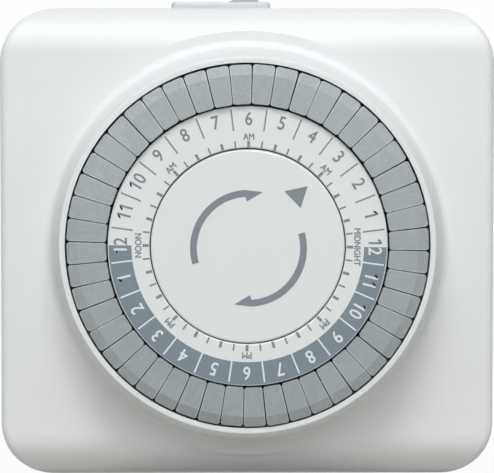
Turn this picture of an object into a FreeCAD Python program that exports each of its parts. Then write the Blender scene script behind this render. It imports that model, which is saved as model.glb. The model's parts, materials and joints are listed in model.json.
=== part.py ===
# Plug-in mechanical 24-hour timer switch.
#
# Each piece is modelled as it lies on a bench, back down: x to the right, y up the face,
# z from the wall side to the dial. stand_up() then turns it upright, so that the finished
# model has +Z up and its dial looking towards -Y. The origin is on the dial's axis, in the
# plane of the back that meets the wall. All sizes are in millimetres.

import FreeCAD, Part
import math
import os

V = FreeCAD.Vector
Z_AXIS = V(0, 0, 1)
ORIGIN = V(0, 0, 0)

# Case
case_width = 72.0
case_height = 69.0
case_corner_r = 8.3
case_depth = 32.0
case_wall = 2.2
back_wall = 2.4
parting_depth = case_depth / 2
front_roll_r = 6.5
side_edge_r = 1.2
back_edge_r = 0.8
corner_relief = 0.01
lip_height = 1.2
lip_thickness = 1.0
lip_clearance = 0.1

# Collar round the dial
collar_height = 8.0
collar_rim_width = 0.82
collar_spread = 2.45
collar_foot_fillet = 1.2
collar_rim_fillet = 0.25

# Case screws
screw_from_side = 6.1
screw_shank_r = 1.4
screw_head_r = 2.6
screw_head_height = 2.0
screw_head_depth = 2.0
screw_length = 22.0
screw_pillar_r = 3.2
screw_hole_clearance = 0.3
screw_bite_clearance = 0.03
cover_pillar_depth = 12.0
driver_slot_width = 0.7
driver_slot_depth = 0.9
driver_slot_share = 0.65
screw_head_fillet = 0.5

# Dial: tappet carrier, number ring and fixed centre cap
post_r = 4.0
running_clearance = 0.08
part_gap = 0.3
ring_inner_r = 13.95
ring_outer_r = 19.9
ring_thickness = 1.4
ring_proud = 8.8
ring_edge_r = 0.2
ring_skirt_length = 3.0
ring_skirt_thickness = 1.4
seat_clearance = 0.05
cap_gap = 0.15
cap_thickness = 1.4
cap_drop = 0.2
cap_edge_r = 0.35
cap_boss_r = 5.0
cap_boss_height = 0.47
cap_key_size = 5.0
cap_key_length = 1.1
hub_r = 6.0
hub_rest_r = 6.5
flange_thickness = 2.2
carrier_wall = 1.7
neck_r = 12.0
carrier_gap = 0.3

# Tappets
tappet_count = 48
hour_count = 24
tappet_first_angle = -1.5
tappet_ring_gap = 0.2
tappet_length = 5.7
tappet_rim_gap = 0.25
tappet_side_gap = 0.2
tappet_proud = 9.5
tappet_head_height = 5.1
tappet_travel = 2.2
tappet_corner_r = 0.35
tappet_edge_bevel = 0.14
tappet_slope_start = 1.6
tappet_slope_drop = 0.45
stem_inset = 1.5
stem_length = 2.8
stem_width = 1.5
stem_clearance = 0.1
stem_below_flange = 2.3

# Gear train
pressure_angle = 25.0
tooth_addendum = 0.8
tooth_dedendum = 1.15
tooth_fill = 0.44
dial_module = 0.5
dial_teeth = 60
train_module = 0.45
wheel_teeth = 40
pinion_teeth = 10
dial_gear_height = 3.0
dial_gear_rise = 5.8
first_wheel_rise = 0.7
second_wheel_rise = 0.8
motor_pinion_drop = 0.4
second_gear_bearing = 215.0
first_gear_bearing = 270.0
motor_pinion_bearing = 150.0
wheel_height = 1.4
pinion_height = 2.6
axle_r = 0.75
axle_clearance = 0.05
axle_stand = 0.6
pinion_shaft_inside = 1.0
sleeve_r = 1.25
shoulder_r = 1.6
washer_height = 0.4
washer_r = 3.6
wheel_gap = 0.2

# Gear plate
plate_from_front = 12.5
plate_thickness = 2.0
plate_corner_r = 0.4
plate_screw_r = 1.0
plate_screw_head_r = 1.9
plate_screw_slot_depth = 0.6
plate_screw_length = 6.0
plate_post_r = 2.6
plate_post_side_x = -30.0
plate_post_side_y = 6.0
plate_post_low_x = 7.0
plate_post_low_y = -28.0
plate_post_high_x = 8.0
plate_post_high_y = 22.0
plate_left = -32.8
plate_right = 9.0
plate_top = 19.0
plate_bottom = -24.0
plate_foot_left = -24.0
plate_foot_right = 10.0
plate_foot_bottom = -30.8
plate_tab_left = -9.0
plate_tab_right = 11.0
plate_tab_top = 25.0

# Motor
motor_x = -16.5
motor_y = -14.0
motor_r = 13.5
motor_floor = 6.0
motor_wall = 0.8
motor_ear_reach = 15.3
motor_ear_r = 1.8
motor_ear_first = 110.0
motor_ear_second = 290.0
motor_ear_neck = 1.2
motor_edge_r = 1.0
rotor_r = 5.4
rotor_end_space = 2.95
rotor_edge = 0.4
coil_inner_r = 6.6
coil_gap = 0.4
bobbin_flange = 0.8
bobbin_hub = 0.8
winding_inset = 0.6
bearing_r = 2.0
bearing_height = 1.0

# Switch: follower lever and contacts
pointer_angle = 47.25
lever_length = 19.6
lever_pivot_rise = 2.9
lever_width = 3.0
lever_thickness = 1.8
lever_boss_r = 1.7
lever_pin_r = 0.9
lever_pin_clearance = 0.06
nose_tangential = 2.6
nose_radial = 3.2
nub_r = 0.7
nose_edge_r = 0.7
arm_past_tip = 1.4
rib_width = 1.0
rib_height = 0.9
rib_from_pivot = 3.0
rib_from_tip = 1.5
bracket_thickness = 1.4
bracket_half_width = 2.0
bracket_over_pin = 1.9
leaf_thickness = 0.4
leaf_reach = 13.4
leaf_free_length = 18.5
leaf_root_length = 1.2
contact_button_r = 1.1
contact_button_height = 0.8
contact_closed_gap = 0.2
contact_edge_r = 0.25
fixed_pad_left = 1.7
fixed_pad_right = 1.7
fixed_pad_front = 0.4
fixed_tab_side = 1.2
fixed_tab_width = 1.8
terminal_thickness = 1.4
terminal_slot_clearance = 0.4
terminal_over_leaf = 1.4
terminal_back = 0.4
line_strap_start = 5.0
strip = 0.6

# Plug on the back
blade_spacing = 12.7
blade_length = 17.0
blade_width = 6.35
blade_thickness = 1.5
blade_hole_r = 1.55
blade_hole_from_tip = 5.3
blade_tip_bevel = 0.4
blade_row_y = 6.0
ground_offset = 11.9
ground_pin_r = 2.4
ground_pin_length = 20.6
ground_root_r = 2.7
blade_shoulder_x = 2.2
blade_shoulder_y = 3.9
ground_shoulder_r = 3.6
ground_shoulder_height = 1.6
blade_riser_width = 4.0
wall_fit = 0.1
neutral_strap_rise = 2.9
neutral_lane = 3.0
neutral_tab_width = 2.0
neutral_tab_side = 0.5
ground_strap_width = 5.0
ground_tab_width = 4.0

# Outlet on the right side
outlet_half_height = 12.5
outlet_floor = 2.9
outlet_roof = 22.6
outlet_depth = 22.0
outlet_face_thickness = 2.6
outlet_flange = 1.4
outlet_slot_width = 1.9
outlet_line_slot = 6.9
outlet_neutral_slot = 8.4
outlet_ground_hole_r = 2.6
outlet_row_y = 5.5
outlet_wall = 1.0
contact_pair_gap = 1.1
contact_leaf = 0.45
contact_width = 6.2
contact_length = 15.4
contact_cavity_y = 7.8
contact_cavity_z = 4.8
ground_cavity = 7.2
ground_sleeve_r = 2.35
ground_sleeve_wall = 0.5
ground_sleeve_slit = 0.8
outlet_edge_bevel = 0.3
tab_hole_low = 3.0
tab_hole_high = 3.4
ground_tab_hole = 4.8

# Rocker switch on the top
rocker_x = -3.9
rocker_level = 9.5
bezel_width = 15.1
bezel_height = 10.5
bezel_proud = 1.6
bezel_corner_r = 0.8
rocker_body_width = 14.3
rocker_body_height = 8.8
rocker_body_depth = 12.0
rocker_wall = 0.6
paddle_gap = 0.3
paddle_end_gap = 0.55
paddle_throw = 24.0
paddle_depth = 4.0
paddle_pivot_drop = 1.6
paddle_crown = 1.1
trunnion_r = 0.9
trunnion_length = 0.7
trunnion_end_gap = 0.1
paddle_end_height = 2.6
paddle_keel_share = 0.42
paddle_keel_r = 1.2
paddle_edge_r = 0.5
paddle_low_edge_r = 0.3
bezel_crown_r = 0.4
load_lug_width = 2.4
line_lug_bend = 0.8

# Leads from the motor
lead_r = 0.55
lead_bend_r = 2.2
lead_below_middle = 2.0
neutral_lead_exit = 50.0
neutral_lead_start = 2.8
neutral_lead_reach = 3.6
neutral_lead_drop = 3.4
line_lead_exit = 66.0
line_lead_start = 3.6

# Radii of the dial, each from the one inside it
tappet_inner_r = ring_outer_r + tappet_ring_gap
tappet_outer_r = tappet_inner_r + tappet_length
stem_inner_r = tappet_inner_r + stem_inset
stem_outer_r = stem_inner_r + stem_length
dial_opening_r = tappet_outer_r + tappet_rim_gap
collar_foot_r = dial_opening_r + collar_spread

# Levels worked out from the sizes above
plate_level = case_depth - plate_from_front
plate_top_level = plate_level + plate_thickness
motor_height = plate_level - motor_floor
lever_pivot_level = plate_top_level + lever_pivot_rise
tappet_top = case_depth + tappet_proud
tappet_head_bottom = tappet_top - tappet_head_height
flange_top = tappet_head_bottom - tappet_travel - wheel_gap
flange_bottom = flange_top - flange_thickness
stem_tip = flange_bottom - stem_below_flange
ring_top = case_depth + ring_proud
ring_bottom = ring_top - ring_thickness
cap_top = ring_top - cap_drop
cap_bottom = cap_top - cap_thickness
boss_bottom = cap_bottom - cap_boss_height
gear_bottom = plate_top_level + dial_gear_rise
gear_top = gear_bottom + dial_gear_height
nose_top = stem_tip - part_gap
pitch_angle = 360.0 / tappet_count
screw_x = case_width / 2 - screw_from_side
screw_y = case_height / 2 - screw_from_side

# Gear centres, each at mesh distance from the one before
dial_pitch_r = dial_module * dial_teeth / 2
dial_mesh_r = dial_module * pinion_teeth / 2
wheel_pitch_r = train_module * wheel_teeth / 2
pinion_pitch_r = train_module * pinion_teeth / 2
train_distance = wheel_pitch_r + pinion_pitch_r

# Train levels, from the gear plate up
first_wheel_z = plate_top_level + first_wheel_rise
first_pinion_z = first_wheel_z + wheel_height
second_wheel_z = first_pinion_z + second_wheel_rise
motor_pinion_top = second_wheel_z - motor_pinion_drop
flange_z = second_wheel_z + wheel_height + washer_height

# Switch places
tip_r = (stem_inner_r + stem_outer_r) / 2
tip_x = tip_r * math.cos(math.radians(pointer_angle))
tip_y = tip_r * math.sin(math.radians(pointer_angle))
pivot_x = tip_x - lever_length
lever_top = lever_pivot_level + lever_thickness / 2
lever_bottom = lever_pivot_level - lever_thickness / 2
nub_bottom = lever_bottom - nub_r
leaf_top = nub_bottom - part_gap
leaf_middle = leaf_top - leaf_thickness / 2
leaf_root_x = tip_x + leaf_reach
leaf_tip_x = leaf_root_x - leaf_free_length
button_x = leaf_tip_x + contact_button_r
lever_turn = math.degrees(math.atan(tappet_travel / lever_length))
leaf_turn = math.degrees(math.atan(tappet_travel / leaf_reach))
button_drop = (leaf_root_x - button_x) * math.tan(math.radians(leaf_turn))
fixed_button_top = (leaf_middle - leaf_thickness / 2 - contact_button_height - button_drop
                    - contact_closed_gap - contact_button_r * math.sin(math.radians(leaf_turn)))

# Plug, straps and outlet places
ground_y = blade_row_y - ground_offset
shoulder_top = back_wall + strip
line_strap_top = shoulder_top + strip
neutral_strap_z = line_strap_top + neutral_strap_rise
ground_strap_z = back_wall + ground_shoulder_height
outlet_middle = (outlet_floor + outlet_roof) / 2
line_z = outlet_middle - blade_spacing / 2
neutral_z = outlet_middle + blade_spacing / 2
outlet_ground_y = outlet_row_y - ground_offset
face_x = case_width / 2
outlet_back_x = face_x - outlet_depth
contact_end_x = face_x - outlet_face_thickness - part_gap
contact_start_x = contact_end_x - contact_length
leg_x = outlet_back_x - 2 * strip
strap_width = 4.0


def at_angle(radius, degrees, z=0.0):
    """Point at a radius and angle round the dial's axis."""
    turn = math.radians(degrees)
    return V(radius * math.cos(turn), radius * math.sin(turn), z)


second_centre = at_angle(dial_pitch_r + dial_mesh_r, second_gear_bearing)
first_centre = second_centre + at_angle(train_distance, first_gear_bearing)
motor_pinion_centre = first_centre + at_angle(train_distance, motor_pinion_bearing)


def box(x0, x1, y0, y1, z0, z1):
    return Part.makeBox(x1 - x0, y1 - y0, z1 - z0, V(x0, y0, z0))


def rod(x, y, z0, z1, radius):
    return Part.makeCylinder(radius, z1 - z0, V(x, y, z0))


def rod_along(start, direction, length, radius):
    return Part.makeCylinder(radius, length, start, direction)


def pipe(x, y, z0, z1, inner_r, outer_r):
    return rod(x, y, z0, z1, outer_r).cut(rod(x, y, z0, z1, inner_r))


def rounded_wire(corners):
    """Closed wire through (point, radius) corners, with an arc at each one that has a radius."""
    bends = []
    for index, (point, radius) in enumerate(corners):
        if radius == 0:
            bends.append((point, None, point))
            continue
        before = (corners[index - 1][0] - point).normalize()
        after = (corners[(index + 1) % len(corners)][0] - point).normalize()
        half_turn = before.getAngle(after) / 2
        reach = radius / math.tan(half_turn)
        inward = (before + after).normalize()
        middle = point + inward * (radius / math.sin(half_turn) - radius)
        bends.append((point + before * reach, middle, point + after * reach))
    edges = []
    for index, (start, middle, end) in enumerate(bends):
        if middle is not None:
            edges.append(Part.Arc(start, middle, end).toShape())
        following = bends[(index + 1) % len(bends)][0]
        if (following - end).Length > 1e-6:
            edges.append(Part.LineSegment(end, following).toShape())
    return Part.Wire(edges)


def prism(corners, z0, z1):
    """Solid over (x, y, radius) corners, from z0 to z1."""
    wire = rounded_wire([(V(x, y, z0), radius) for x, y, radius in corners])
    return Part.Face(wire).extrude(V(0, 0, z1 - z0))


def turned(profile):
    """Solid turned round the dial's axis from (radius, z, corner radius) points."""
    wire = rounded_wire([(V(r, 0, z), radius) for r, z, radius in profile])
    return Part.Face(wire).revolve(ORIGIN, Z_AXIS, 360)


def rounded_rectangle(width, height, corner_r, z0, z1):
    x = width / 2
    y = height / 2
    return prism([(-x, -y, corner_r), (x, -y, corner_r), (x, y, corner_r), (-x, y, corner_r)], z0, z1)


def fuse(shapes):
    return shapes[0].multiFuse(shapes[1:]).removeSplitter()


def pick_edges(shape, test):
    return [edge for edge in shape.Edges if test(edge)]


def stand_up(shape):
    """Turn a piece from the bench frame, dial up, to the finished frame, dial forward."""
    upright = shape.copy()
    upright.rotate(ORIGIN, V(1, 0, 0), 90)
    return upright


# Case

def case_form(inset, z0, z1):
    """Outline of the case, with the top and bottom front edges rolled over."""
    width = case_width - 2 * inset
    height = case_height - 2 * inset
    plan = rounded_rectangle(width, height + 2 * corner_relief, case_corner_r - inset, z0, z1)
    roll = front_roll_r - inset
    y = height / 2
    side = [(V(0, -y, z0), 0), (V(0, y, z0), 0), (V(0, y, z1), roll), (V(0, -y, z1), roll)]
    band = Part.Face(rounded_wire(side)).extrude(V(width, 0, 0))
    band.translate(V(-width / 2, 0, 0))
    return plan.common(band)


def collar():
    rim_z = case_depth + collar_height
    rim_r = dial_opening_r + collar_rim_width
    slope = V(collar_foot_r - rim_r, 0, -collar_height).normalize()
    out = collar_foot_r + 2 * collar_foot_fillet
    inside = dial_opening_r - collar_rim_width
    low = case_depth - case_wall
    profile = [
        (inside, low, 0),
        (out, low, 0),
        (out, case_depth, 0),
        (collar_foot_r + slope.x, case_depth, collar_foot_fillet),
        (rim_r, rim_z, collar_rim_fillet),
        (inside, rim_z, 0),
    ]
    return turned(profile)


def outlet_opening(clearance):
    y = outlet_half_height + clearance
    return box(face_x - 2 * case_wall, face_x + case_wall, -y, y,
               outlet_floor - clearance, outlet_roof + clearance)


def screw_places():
    return [(sx * screw_x, sy * screw_y) for sx in (-1, 1) for sy in (-1, 1)]


def front_cover():
    outer = case_form(0, parting_depth, case_depth)
    side_edges = pick_edges(outer, lambda e: e.BoundBox.ZMax > case_depth - front_roll_r - 0.01
                            and e.BoundBox.ZMin > parting_depth + 1
                            and abs(e.CenterOfMass.x) > case_width / 2 - case_corner_r)
    outer = outer.makeFillet(side_edge_r, side_edges)
    inner = case_form(case_wall, parting_depth, case_depth - case_wall)
    shell = outer.cut(inner)
    pillars = []
    for x, y in screw_places():
        pillars.append(rod(x, y, parting_depth, parting_depth + cover_pillar_depth, screw_pillar_r))
    shell = fuse([shell, collar()] + pillars)
    shell = shell.cut(rod(0, 0, case_depth - 2 * case_wall, tappet_top, dial_opening_r))
    rebate_inset = case_wall - lip_thickness - lip_clearance
    rebate = rounded_rectangle(case_width - 2 * rebate_inset, case_height - 2 * rebate_inset,
                               case_corner_r - rebate_inset, parting_depth,
                               parting_depth + lip_height + lip_clearance)
    core = rounded_rectangle(case_width - 2 * case_wall, case_height - 2 * case_wall,
                             case_corner_r - case_wall, parting_depth,
                             parting_depth + lip_height + lip_clearance)
    shell = shell.cut(rebate.cut(core))
    for x, y in screw_places():
        top = screw_head_depth + screw_head_height + screw_length
        shell = shell.cut(rod(x, y, parting_depth, top, screw_shank_r + screw_bite_clearance))
    return shell.cut(outlet_opening(wall_fit))


def blade_slot(x, clearance):
    half_x = blade_thickness / 2 + clearance
    half_y = blade_width / 2 + clearance
    return box(x - half_x, x + half_x, blade_row_y - half_y, blade_row_y + half_y, -1, back_wall + 1)


def plate_posts():
    return [(plate_post_side_x, plate_post_side_y), (plate_post_low_x, plate_post_low_y),
            (plate_post_high_x, plate_post_high_y)]


def rear_case():
    outer = rounded_rectangle(case_width, case_height, case_corner_r, 0, parting_depth)
    back_edges = pick_edges(outer, lambda e: e.BoundBox.ZMax < 0.01)
    outer = outer.makeFillet(back_edge_r, back_edges)
    inner = rounded_rectangle(case_width - 2 * case_wall, case_height - 2 * case_wall,
                              case_corner_r - case_wall, back_wall, parting_depth + lip_height)
    lip_inset = case_wall - lip_thickness
    lip = rounded_rectangle(case_width - 2 * lip_inset, case_height - 2 * lip_inset,
                            case_corner_r - lip_inset, parting_depth, parting_depth + lip_height)
    for x, y in screw_places():
        lip = lip.cut(rod(x, y, parting_depth, parting_depth + lip_height, screw_pillar_r + lip_clearance))
    shell = outer.fuse(lip).cut(inner)
    pillars = [rod(x, y, 0.5, parting_depth, screw_pillar_r) for x, y in screw_places()]
    posts = [rod(x, y, back_wall / 2, plate_level, plate_post_r) for x, y in plate_posts()]
    shell = fuse([shell] + pillars + posts)
    head_top = screw_head_depth + screw_head_height
    for x, y in screw_places():
        shell = shell.cut(rod(x, y, -1, head_top, screw_head_r + screw_hole_clearance))
        shell = shell.cut(rod(x, y, 0, parting_depth + 1, screw_shank_r + screw_hole_clearance))
    for x, y in plate_posts():
        depth = plate_top_level - plate_screw_length - part_gap
        shell = shell.cut(rod(x, y, depth, plate_level + 1, plate_screw_r + screw_bite_clearance))
    shell = shell.cut(blade_slot(-blade_spacing / 2, wall_fit))
    shell = shell.cut(blade_slot(blade_spacing / 2, wall_fit))
    shell = shell.cut(rod(0, ground_y, -1, back_wall + 1, ground_root_r + wall_fit))
    shell = shell.cut(outlet_opening(wall_fit))
    half_x = rocker_body_width / 2 + wall_fit
    half_z = rocker_body_height / 2 + wall_fit
    top = case_height / 2
    return shell.cut(box(rocker_x - half_x, rocker_x + half_x, top - 2 * case_wall, top + 1,
                         rocker_level - half_z, rocker_level + half_z))


def cross_slot(x, y, z0, z1, reach):
    half = driver_slot_width / 2
    bar = box(x - reach, x + reach, y - half, y + half, z0, z1)
    return bar.fuse(box(x - half, x + half, y - reach, y + reach, z0, z1))


def case_screws():
    screws = []
    for x, y in screw_places():
        low = screw_head_depth
        high = low + screw_head_height
        head = rod(x, y, low, high, screw_head_r)
        head = head.makeFillet(screw_head_fillet, pick_edges(head, lambda e: e.BoundBox.ZMax < low + 0.01))
        shank = rod(x, y, high, high + screw_length, screw_shank_r)
        tip = pick_edges(shank, lambda e: e.BoundBox.ZMin > high + screw_length - 0.01)
        shank = shank.makeChamfer(screw_shank_r / 2, tip)
        screw = fuse([head, shank])
        slot = cross_slot(x, y, low - 1, low + driver_slot_depth, screw_head_r * driver_slot_share)
        screws.append(screw.cut(slot))
    return Part.makeCompound(screws)


# Gear plate and its screws

def motor_ears():
    centre = V(motor_x, motor_y, 0)
    return [centre + at_angle(motor_ear_reach, angle) for angle in (motor_ear_first, motor_ear_second)]


def plate_screw_places():
    return plate_posts() + [(ear.x, ear.y) for ear in motor_ears()]


def countersink(x, y, clearance):
    depth = plate_screw_head_r - plate_screw_r
    head = Part.makeCone(plate_screw_r + clearance, plate_screw_head_r + clearance, depth,
                         V(x, y, plate_top_level - depth))
    low = plate_top_level - plate_screw_length
    return head.fuse(rod(x, y, low, plate_top_level - depth, plate_screw_r + clearance))


def gear_plate():
    low = plate_level
    high = plate_top_level
    outline = [
        (plate_left, plate_bottom),
        (plate_foot_left, plate_bottom),
        (plate_foot_left, plate_foot_bottom),
        (plate_foot_right, plate_foot_bottom),
        (plate_foot_right, plate_bottom),
        (plate_right, plate_bottom),
        (plate_right, plate_top),
        (plate_tab_right, plate_top),
        (plate_tab_right, plate_tab_top),
        (plate_tab_left, plate_tab_top),
        (plate_tab_left, plate_top),
        (plate_left, plate_top),
    ]
    sheet = prism([(x, y, plate_corner_r) for x, y in outline], low, high)
    post = rod(0, 0, low, boss_bottom, post_r)
    shoulder = rod(0, 0, low, gear_bottom - part_gap, hub_rest_r)
    key = cap_key_size / 2
    spigot = box(-key, key, -key, key, boss_bottom - 1, boss_bottom + cap_key_length)
    ears = []
    for side in (-1, 1):
        inner = tip_y + side * (lever_width / 2 + part_gap)
        outer = inner + side * bracket_thickness
        ears.append(box(pivot_x - bracket_half_width, pivot_x + bracket_half_width,
                        min(inner, outer), max(inner, outer), low, lever_pivot_level + bracket_over_pin))
    plate = fuse([sheet, post, shoulder, spigot] + ears)
    reach = lever_width / 2 + part_gap + 2 * bracket_thickness
    pin_start = V(pivot_x, tip_y - reach, lever_pivot_level)
    plate = plate.cut(rod_along(pin_start, V(0, 1, 0), 2 * reach, lever_pin_r))
    for x, y in plate_screw_places():
        plate = plate.cut(countersink(x, y, screw_bite_clearance))
    pinion = motor_pinion_centre
    plate = plate.cut(rod(pinion.x, pinion.y, low - 1, high + 1, pinion_pitch_r + 2 * train_module))
    for centre in (first_centre, second_centre):
        plate = plate.cut(rod(centre.x, centre.y, low - 1, high + 1, axle_r))
    return plate


def frame_screws():
    screws = []
    for x, y in plate_screw_places():
        slot = cross_slot(x, y, plate_top_level - plate_screw_slot_depth, plate_top_level + 1,
                          plate_screw_head_r * driver_slot_share)
        screws.append(countersink(x, y, 0).cut(slot))
    return Part.makeCompound(screws)


def gear_axles():
    low = plate_level
    first_top = first_pinion_z + pinion_height + axle_stand
    second_top = gear_top + axle_stand
    first = rod(first_centre.x, first_centre.y, low, first_top, axle_r)
    second = rod(second_centre.x, second_centre.y, low, second_top, axle_r)
    return Part.makeCompound([first, second])


# Dial

def tooth_half_angle(teeth, module, radius):
    """Half the angle that an involute tooth fills at a radius, in radians."""
    pitch_r = module * teeth / 2
    base_r = pitch_r * math.cos(math.radians(pressure_angle))
    at_pitch = tooth_fill * math.pi / teeth
    pressure = math.radians(pressure_angle)
    here = math.acos(min(1.0, base_r / max(radius, base_r)))
    return at_pitch + (math.tan(pressure) - pressure) - (math.tan(here) - here)


def gear(centre, teeth, module, phase, z0, z1):
    """Spur gear whose first tooth points along phase, in degrees."""
    pitch_r = module * teeth / 2
    root_r = pitch_r - tooth_dedendum * module
    base_r = pitch_r * math.cos(math.radians(pressure_angle))
    tip_r_here = pitch_r + tooth_addendum * module
    start_r = max(root_r, base_r)
    flank = [root_r, start_r, (start_r + pitch_r) / 2, pitch_r, (pitch_r + tip_r_here) / 2, tip_r_here]
    if start_r == root_r:
        flank = flank[1:]
    points = []
    for tooth in range(teeth):
        middle = math.radians(phase) + 2 * math.pi * tooth / teeth
        rising = [(r, middle - tooth_half_angle(teeth, module, r)) for r in flank]
        falling = [(r, middle + tooth_half_angle(teeth, module, r)) for r in reversed(flank)]
        for r, turn in rising + falling:
            points.append(V(centre.x + r * math.cos(turn), centre.y + r * math.sin(turn), z0))
    wire = Part.makePolygon(points + points[:1])
    return Part.Face(wire).extrude(V(0, 0, z1 - z0))


def meshed_phase(driver_phase, driver_teeth, bearing, teeth):
    """Phase of a gear at a bearing from its driver that puts its teeth in the driver's gaps."""
    pitch = 360.0 / driver_teeth
    lead = (driver_phase - bearing) % pitch
    return bearing + 180.0 + 180.0 / teeth - lead * driver_teeth / teeth


dial_phase = 0.0
second_pinion_phase = meshed_phase(dial_phase, dial_teeth, second_gear_bearing, pinion_teeth)
second_wheel_phase = second_pinion_phase
first_pinion_phase = meshed_phase(second_wheel_phase, wheel_teeth, first_gear_bearing, pinion_teeth)
first_wheel_phase = first_pinion_phase
motor_pinion_phase = meshed_phase(first_wheel_phase, wheel_teeth, motor_pinion_bearing, pinion_teeth)


def tappet_angle(index):
    return tappet_first_angle + pitch_angle * (index + 0.5)


def tappet_carrier():
    bore = post_r + running_clearance
    wall_inner = ring_outer_r - carrier_wall
    wheel = gear(ORIGIN, dial_teeth, dial_module, dial_phase, gear_bottom, gear_top)
    body = turned([
        (bore, gear_bottom, 0),
        (neck_r, gear_bottom, 0),
        (neck_r, flange_bottom, 0),
        (dial_opening_r - carrier_gap, flange_bottom, 0),
        (dial_opening_r - carrier_gap, flange_top, 0.3),
        (ring_outer_r, flange_top, 0),
        (ring_outer_r, ring_bottom, 0),
        (wall_inner, ring_bottom, 0),
        (wall_inner, flange_top, 1.0),
        (hub_r, flange_top, 1.0),
        (hub_r, boss_bottom - part_gap, 0.3),
        (bore, boss_bottom - part_gap, 0),
    ])
    carrier = body.fuse(wheel).cut(rod(0, 0, gear_bottom - 1, flange_top, bore))
    half = stem_width / 2 + stem_clearance
    slot = box(stem_inner_r - stem_clearance, stem_outer_r + stem_clearance, -half, half,
               flange_bottom - 1, flange_top + 1)
    slots = []
    for index in range(tappet_count):
        cutter = slot.copy()
        cutter.rotate(ORIGIN, Z_AXIS, tappet_angle(index))
        slots.append(cutter)
    return carrier.cut(Part.makeCompound(slots))


def dial_ring():
    skirt_outer = ring_outer_r - carrier_wall - seat_clearance
    skirt_inner = skirt_outer - ring_skirt_thickness
    return turned([
        (ring_inner_r, ring_bottom, 0),
        (skirt_inner, ring_bottom, 0),
        (skirt_inner, ring_bottom - ring_skirt_length, 0),
        (skirt_outer, ring_bottom - ring_skirt_length, 0.4),
        (skirt_outer, ring_bottom, 0),
        (ring_outer_r, ring_bottom, 0),
        (ring_outer_r, ring_top, ring_edge_r),
        (ring_inner_r, ring_top, ring_edge_r),
    ])


def centre_cap():
    cap_r = ring_inner_r - cap_gap
    body = turned([
        (0, boss_bottom, 0),
        (cap_boss_r, boss_bottom, 0),
        (cap_boss_r, cap_bottom, 0),
        (cap_r, cap_bottom, 0.2),
        (cap_r, cap_top, cap_edge_r),
        (0, cap_top, 0),
    ])
    key = cap_key_size / 2
    socket = box(-key, key, -key, key, boss_bottom - 1, boss_bottom + cap_key_length)
    return body.cut(socket)


def tappet():
    """One half-hour tappet, centred on the +x direction."""
    half_pitch = math.radians(pitch_angle / 2)
    spread = math.tan(half_pitch)
    trim = tappet_side_gap / 2 / math.cos(half_pitch)
    inner = (tappet_inner_r, tappet_inner_r * spread - trim)
    outer_side = tappet_outer_r * math.cos(half_pitch)
    outer = (outer_side, outer_side * spread - trim)
    low = V(inner[0], -inner[1], tappet_head_bottom)
    low_out = V(outer[0], -outer[1], tappet_head_bottom)
    high_out = V(outer[0], outer[1], tappet_head_bottom)
    high = V(inner[0], inner[1], tappet_head_bottom)
    edges = [
        Part.LineSegment(low, low_out).toShape(),
        Part.Arc(low_out, V(tappet_outer_r, 0, tappet_head_bottom), high_out).toShape(),
        Part.LineSegment(high_out, high).toShape(),
        Part.LineSegment(high, low).toShape(),
    ]
    head = Part.Face(Part.Wire(edges)).extrude(V(0, 0, tappet_head_height))
    slope_x = tappet_outer_r - tappet_slope_start
    margin = 1.0
    fall = tappet_slope_drop / tappet_slope_start
    side = outer_side * spread + margin
    wedge = [
        (V(slope_x, -side, tappet_top), 0),
        (V(tappet_outer_r + margin, -side, tappet_top - fall * (tappet_slope_start + margin)), 0),
        (V(tappet_outer_r + margin, -side, tappet_top + margin), 0),
        (V(slope_x, -side, tappet_top + margin), 0),
    ]
    head = head.cut(Part.Face(rounded_wire(wedge)).extrude(V(0, 2 * side, 0)))
    corners = pick_edges(head, lambda e: e.BoundBox.XLength < 0.01 and e.BoundBox.YLength < 0.01)
    head = head.makeFillet(tappet_corner_r, corners)
    rim = pick_edges(head, lambda e: e.BoundBox.ZMin > tappet_top - 2 * tappet_slope_drop
                     and e.BoundBox.ZMax > tappet_head_bottom + tappet_head_height / 2
                     and not (e.BoundBox.XLength < 0.01 and e.BoundBox.XMin < slope_x + 0.01
                              and e.BoundBox.XMin > slope_x - 0.01))
    head = head.makeChamfer(tappet_edge_bevel, rim)
    half = stem_width / 2
    stem = box(stem_inner_r, stem_outer_r, -half, half, stem_tip, tappet_head_bottom + 0.5)
    return fuse([head, stem])


def tappets_of_hour(hour):
    """The two half-hour tappets that start at an hour."""
    pair = []
    for index in (2 * hour, 2 * hour + 1):
        piece = tappet()
        piece.rotate(ORIGIN, Z_AXIS, tappet_angle(index))
        pair.append(piece)
    return Part.makeCompound(pair)


# Gear train

def first_gear():
    wheel = gear(first_centre, wheel_teeth, train_module, first_wheel_phase, first_wheel_z, first_pinion_z)
    pinion = gear(first_centre, pinion_teeth, train_module, first_pinion_phase, first_pinion_z,
                  first_pinion_z + pinion_height)
    boss = rod(first_centre.x, first_centre.y, plate_top_level + wheel_gap, first_wheel_z, shoulder_r)
    bore = rod(first_centre.x, first_centre.y, plate_level, gear_top, axle_r + axle_clearance)
    return fuse([wheel, pinion, boss]).cut(bore)


def second_wheel():
    wheel = gear(second_centre, wheel_teeth, train_module, second_wheel_phase, second_wheel_z,
                 second_wheel_z + wheel_height)
    hole = rod(second_centre.x, second_centre.y, plate_level, gear_top, sleeve_r + seat_clearance)
    return wheel.cut(hole)


def second_pinion():
    x = second_centre.x
    y = second_centre.y
    shoulder = rod(x, y, plate_top_level + wheel_gap, second_wheel_z, shoulder_r)
    sleeve = rod(x, y, second_wheel_z, flange_z, sleeve_r)
    flange = rod(x, y, flange_z, flange_z + washer_height, washer_r)
    teeth = gear(second_centre, pinion_teeth, dial_module, second_pinion_phase,
                 flange_z + washer_height, gear_top)
    bore = rod(x, y, plate_level, gear_top + 1, axle_r + axle_clearance)
    return fuse([shoulder, sleeve, flange, teeth]).cut(bore)


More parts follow.
